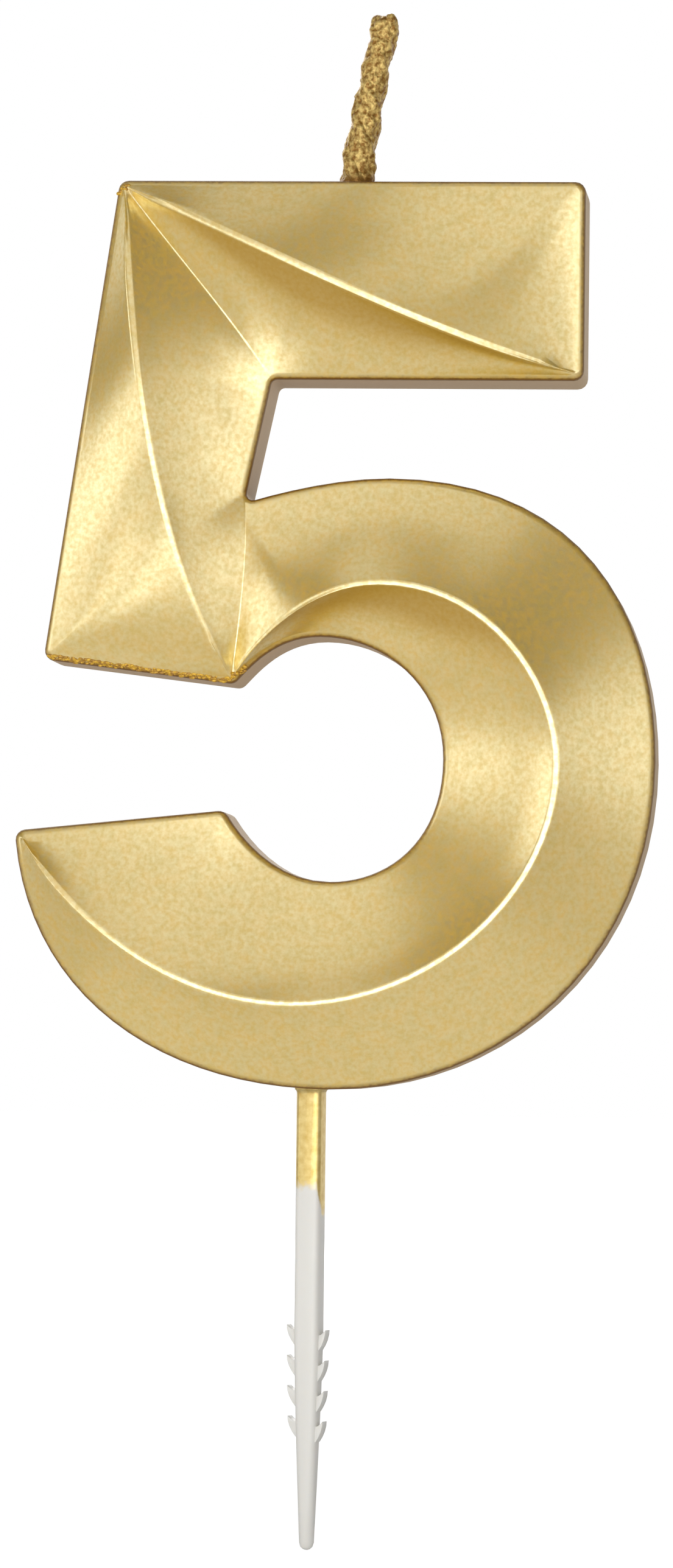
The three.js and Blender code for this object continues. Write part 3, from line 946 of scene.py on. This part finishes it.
class CANDLE_OT_wick(bpy.types.Operator):
    """Build the lumpy cotton strands of the wick and the wax between them"""

    bl_idname = "candle.wick"
    bl_label = "Wick"

    def execute(self, context):
        sizes = context.scene.candle_sizes
        colours = context.scene.candle_colours
        material = gold_coated_cotton(colours)
        tip = max(strand_tips())
        lump_size = 0.6 * MM
        for node in STRANDS:
            bm = merged_copy(node)
            bmesh.ops.subdivide_edges(
                bm, edges=bm.edges, cuts=3, smooth=1.0, use_grid_fill=True
            )
            make_lumpy(bm, lump_size, sizes.strand_lump)
            keep_below(bm, tip)
            name = node.replace("wick", "cotton")
            finished_piece(name, bm, material, [node])
        self.build_filling(sizes, material)
        return {"FINISHED"}

    def build_filling(self, sizes, material):
        """Wax and lacquer that fill the grooves between the strands, domed at the tip."""
        sunk = 1.0 * MM
        below_tip = 0.06 * MM
        rounded_end = 0.6 * MM
        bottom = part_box("wax_numeral")[1].z - sunk
        tip = max(strand_tips())
        top = tip - below_tip
        straight_from = min(strand_tips()) - rounded_end
        base_radius = 1.24 * MM
        tip_radius = 1.06 * MM
        taper_end = 0.6
        dome_height = 0.8 * MM
        lump_size = 0.5 * MM
        rows = 120
        steps_round = 64
        profile = [(0.0, bottom)]
        for k in range(rows + 1):
            share = k / rows
            height = bottom + (top - bottom) * share
            tapered = min(share / taper_end, 1.0)
            radius = base_radius + (tip_radius - base_radius) * tapered
            left_over = (top - bottom) * (1 - share)
            dome = max(0.0, 1 - left_over / dome_height)
            profile.append((radius * math.sqrt(1 - dome ** 2), height))
        bm = bmesh.new()
        spun(bm, profile, steps_round)
        make_lumpy(bm, lump_size, sizes.strand_lump)
        lean_like_wick(bm, bottom, straight_from)
        keep_below(bm, tip)
        finished_piece("wick_wax_filling", bm, material, [])


class CANDLE_OT_pick(bpy.types.Operator):
    """Build the barbed cake pick"""

    bl_idname = "candle.pick"
    bl_label = "Cake pick"

    def execute(self, context):
        sizes = context.scene.candle_sizes
        colours = context.scene.candle_colours
        bm = merged_copy("cake_pick")
        self.draw_out_collar(bm, sizes.collar)
        material = white_pick_plastic(sizes, colours)
        piece = finished_piece(
            "barbed_pick", bm, material, ["cake_pick"]
        )
        sharp_fold = math.radians(40)
        rounding = piece.modifiers.new("Rounded edges", "BEVEL")
        rounding.width = sizes.pick_rounding
        rounding.segments = 2
        rounding.limit_method = "ANGLE"
        rounding.angle_limit = sharp_fold
        weighted_normals(piece)
        return {"FINISHED"}

    def draw_out_collar(self, bm, width):
        """Widens the pick where it enters the wax, as the lacquer does that clings to it."""
        rows = 5
        drawn_out = 2.2
        hollow = 3
        height = drawn_out * width
        just_above = 0.01 * MM
        for k in range(1, rows + 1):
            bmesh.ops.bisect_plane(
                bm,
                geom=[*bm.verts, *bm.edges, *bm.faces],
                dist=0.001 * MM,
                plane_co=(0, 0, -height * k / rows),
                plane_no=(0, 0, 1),
            )
        for vertex in bm.verts:
            if -height <= vertex.co.z <= just_above:
                share = 1 + min(vertex.co.z, 0) / height
                outward = Vector((vertex.co.x, vertex.co.y, 0)).normalized()
                vertex.co += outward * width * share ** hollow


# Stage


def shows_backdrop(tree, behind):
    """1 for the rays that see the white backdrop and 0 for the rest.

    The camera sees it everywhere. Gloss and glass mirror it only where it really stood,
    behind the candle: the room in front of the candle was darker.
    """
    path = add_node(tree, "ShaderNodeLightPath")
    mirrored = add_node(
        tree,
        "ShaderNodeMath",
        {"operation": "MAXIMUM"},
        {0: path.outputs["Is Glossy Ray"], 1: path.outputs["Is Transmission Ray"]},
    )
    mirrored_behind = add_node(
        tree,
        "ShaderNodeMath",
        {"operation": "MULTIPLY"},
        {0: mirrored.outputs[0], 1: behind},
    )
    share = add_node(
        tree,
        "ShaderNodeMath",
        {"operation": "MAXIMUM"},
        {0: path.outputs["Is Camera Ray"], 1: mirrored_behind.outputs[0]},
    )
    return share.outputs[0]


def pale_floor(colours):
    """Matt white table, lit through from below, that keeps the object's shadow.

    For the camera, and for gloss behind the candle, it glows more and more with the
    distance, so that it runs into the white background without a line.
    """
    material, tree, output = new_material("matt_white_light_table")
    near = 0.05
    far = 0.8
    glow_near = 0.8
    glow_far = 0.98
    backdrop_start = 0.05
    backdrop_full = 0.4
    card = add_node(
        tree, "ShaderNodeBsdfDiffuse", inputs={"Color": opaque(colours.floor)}
    )
    place = add_node(tree, "ShaderNodeTexCoord").outputs["Object"]
    distance = add_node(
        tree, "ShaderNodeVectorMath", {"operation": "LENGTH"}, {0: place}
    ).outputs["Value"]
    shown_glow = add_node(
        tree,
        "ShaderNodeMapRange",
        {"interpolation_type": "SMOOTHSTEP"},
        {
            "Value": distance,
            "From Min": near,
            "From Max": far,
            "To Min": glow_near,
            "To Max": glow_far,
        },
    )
    backward = add_node(tree, "ShaderNodeSeparateXYZ", inputs={"Vector": place}).outputs["Y"]
    behind = add_node(
        tree,
        "ShaderNodeMapRange",
        {"interpolation_type": "SMOOTHSTEP"},
        {"Value": backward, "From Min": backdrop_start, "From Max": backdrop_full},
    ).outputs["Result"]
    strength = add_node(
        tree,
        "ShaderNodeMapRange",
        inputs={
            "Value": shows_backdrop(tree, behind),
            "To Min": TABLE_BRIGHTNESS,
            "To Max": shown_glow.outputs["Result"],
        },
    )
    glow = add_node(
        tree,
        "ShaderNodeEmission",
        inputs={"Color": (1.0, 1.0, 1.0, 1.0), "Strength": strength.outputs["Result"]},
    )
    both = add_node(
        tree,
        "ShaderNodeAddShader",
        inputs={0: card.outputs["BSDF"], 1: glow.outputs["Emission"]},
    )
    tree.links.new(both.outputs["Shader"], output.inputs["Surface"])
    return material


def studio_world():
    """Dim room, with a white backdrop behind the candle."""
    backdrop_start = 0.2
    backdrop_full = 0.6
    world = bpy.data.worlds.new("studio")
    world.use_nodes = True
    tree = world.node_tree
    tree.nodes.clear()
    output = add_node(tree, "ShaderNodeOutputWorld")
    direction = add_node(tree, "ShaderNodeTexCoord").outputs["Generated"]
    backward = add_node(tree, "ShaderNodeSeparateXYZ", inputs={"Vector": direction}).outputs["Y"]
    behind = add_node(
        tree,
        "ShaderNodeMapRange",
        {"interpolation_type": "SMOOTHSTEP"},
        {"Value": backward, "From Min": backdrop_start, "From Max": backdrop_full},
    ).outputs["Result"]
    strength = add_node(
        tree,
        "ShaderNodeMapRange",
        inputs={
            "Value": shows_backdrop(tree, behind),
            "To Min": ROOM_BRIGHTNESS,
            "To Max": BACKDROP_BRIGHTNESS,
        },
    )
    background = add_node(
        tree,
        "ShaderNodeBackground",
        inputs={"Color": (1.0, 1.0, 1.0, 1.0), "Strength": strength.outputs["Result"]},
    )
    tree.links.new(background.outputs["Background"], output.inputs["Surface"])
    bpy.context.scene.world = world


def softbox(name, place, aim, width, height, brightness):
    """A rectangular lamp turned to a point, with the brightness that its face shows."""
    lamp = bpy.data.lights.new(name, "AREA")
    lamp.shape = "RECTANGLE"
    lamp.size = width
    lamp.size_y = height
    lamp.energy = brightness * math.pi * width * height
    holder = bpy.data.objects.new(name, lamp)
    holder.location = place
    direction = Vector(aim) - Vector(place)
    holder.rotation_euler = direction.to_track_quat("-Z", "Y").to_euler()
    holder.visible_camera = False
    bpy.context.scene.collection.objects.link(holder)


class CANDLE_OT_stage(bpy.types.Operator):
    """Set up the floor, the lights, the background and the camera"""

    bl_idname = "candle.stage"
    bl_label = "Stage"

    def execute(self, context):
        self.build_floor(context)
        studio_world()
        for lamp in LAMPS:
            softbox(*lamp)
        self.build_camera(context.scene)
        context.scene.view_settings.view_transform = "Standard"
        return {"FINISHED"}

    def build_floor(self, context):
        """Lays the pale floor just below the candle."""
        colours = context.scene.candle_colours
        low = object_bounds()[0]
        bm = bmesh.new()
        bmesh.ops.create_grid(bm, x_segments=1, y_segments=1, size=FLOOR_REACH)
        bmesh.ops.translate(bm, verts=bm.verts, vec=(0, 0, low.z))
        mesh = bpy.data.meshes.new("floor")
        bm.to_mesh(mesh)
        bm.free()
        mesh.materials.append(pale_floor(colours))
        floor = bpy.data.objects.new("floor", mesh)
        context.scene.collection.objects.link(floor)
        floor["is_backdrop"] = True

    def build_camera(self, scene):
        """Sets the camera where the photo's camera stood, and makes it the scene's."""
        camera_data = bpy.data.cameras.new("camera")
        camera_data.lens = CAMERA_LENS
        camera_data.sensor_width = CAMERA_SENSOR
        camera = bpy.data.objects.new("camera", camera_data)
        camera.location = CAMERA_PLACE
        straight = (Vector(CAMERA_AIM) - camera.location).to_track_quat("-Z", "Y")
        roll = Quaternion((0, 0, 1), math.radians(CAMERA_ROLL))
        camera.rotation_mode = "QUATERNION"
        camera.rotation_quaternion = straight @ roll
        scene.collection.objects.link(camera)
        scene.camera = camera


class CANDLE_PT_sidebar(bpy.types.Panel):
    """Lists the candle's sizes, colours and build steps"""

    bl_idname = "CANDLE_PT_sidebar"
    bl_label = "Number candle"
    bl_space_type = "VIEW_3D"
    bl_region_type = "UI"
    bl_category = "Candle"

    def draw(self, context):
        layout = self.layout
        for group in (context.scene.candle_sizes, context.scene.candle_colours):
            box = layout.box()
            for name in group.__annotations__:
                box.prop(group, name)
        for operator in OPERATORS:
            layout.operator(operator.bl_idname)


OPERATORS = (
    CANDLE_OT_numeral,
    CANDLE_OT_beads,
    CANDLE_OT_wick,
    CANDLE_OT_pick,
    CANDLE_OT_stage,
)
CLASSES = (CandleSizes, CandleColours, *OPERATORS, CANDLE_PT_sidebar)


def register():
    for cls in CLASSES:
        bpy.utils.register_class(cls)
    bpy.types.Scene.candle_sizes = PointerProperty(type=CandleSizes)
    bpy.types.Scene.candle_colours = PointerProperty(type=CandleColours)


def unregister():
    del bpy.types.Scene.candle_colours
    del bpy.types.Scene.candle_sizes
    for cls in reversed(CLASSES):
        bpy.utils.unregister_class(cls)


def main():
    """Builds the candle and its stage."""
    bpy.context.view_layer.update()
    register()
    bpy.ops.candle.numeral()
    bpy.ops.candle.beads()
    bpy.ops.candle.wick()
    bpy.ops.candle.pick()
    bpy.ops.candle.stage()


if __name__ == "__main__":
    main()
